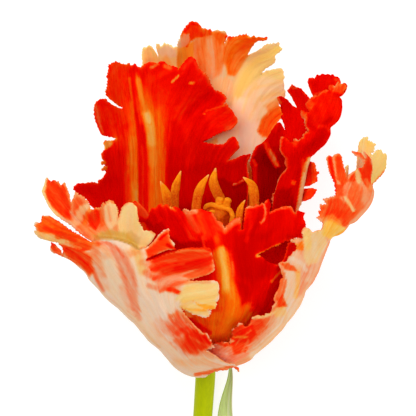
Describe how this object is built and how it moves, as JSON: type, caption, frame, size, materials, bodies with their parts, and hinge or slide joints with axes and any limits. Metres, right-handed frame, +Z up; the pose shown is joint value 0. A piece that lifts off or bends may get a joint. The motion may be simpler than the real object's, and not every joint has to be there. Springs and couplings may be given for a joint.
{
  "type": "parrot tulip",
  "caption": "Cut parrot tulip lying on its side: a ragged, cupped head of overlapping tepals around stamens and a pistil, on a stem with a clasping leaf.",
  "frame": {"origin": "centre of the bounding box at its base, on the surface that the flower lies on", "axes": "+Y along the stem towards the flower head, +Z up away from the surface, +X to the side that the leaf lies on"},
  "size_m": [0.0968, 0.2828, 0.0826],
  "materials": {
    "tepal_outer_back": "satin, cream and orange",
    "tepal_outer_left": "satin, pale pink and cream with red flames",
    "tepal_outer_right": "satin, salmon and cream with red flames",
    "tepal_inner_left": "satin, red with orange stripes",
    "tepal_inner_right": "satin, deep red",
    "tepal_inner_front": "satin, red with an orange midrib",
    "stem": "smooth, waxy yellow-green",
    "leaf": "waxy grey-green",
    "filament": "matt, orange",
    "anther": "matt, powdery orange-yellow",
    "pistil": "matt, orange-yellow"
  },
  "bodies": {
    "root": {"tepal_outer_back": "tepal_outer_back", "tepal_outer_left": "tepal_outer_left", "tepal_outer_right": "tepal_outer_right", "tepal_inner_left": "tepal_inner_left", "tepal_inner_right": "tepal_inner_right", "tepal_inner_front": "tepal_inner_front", "stem": "stem", "leaf": "leaf", "filament_1": "filament", "filament_2": "filament", "filament_3": "filament", "filament_4": "filament", "filament_5": "filament", "filament_6": "filament", "anther_1": "anther", "anther_2": "anther", "anther_3": "anther", "anther_4": "anther", "anther_5": "anther", "anther_6": "anther", "pistil": "pistil"}
  },
  "joints": []
}
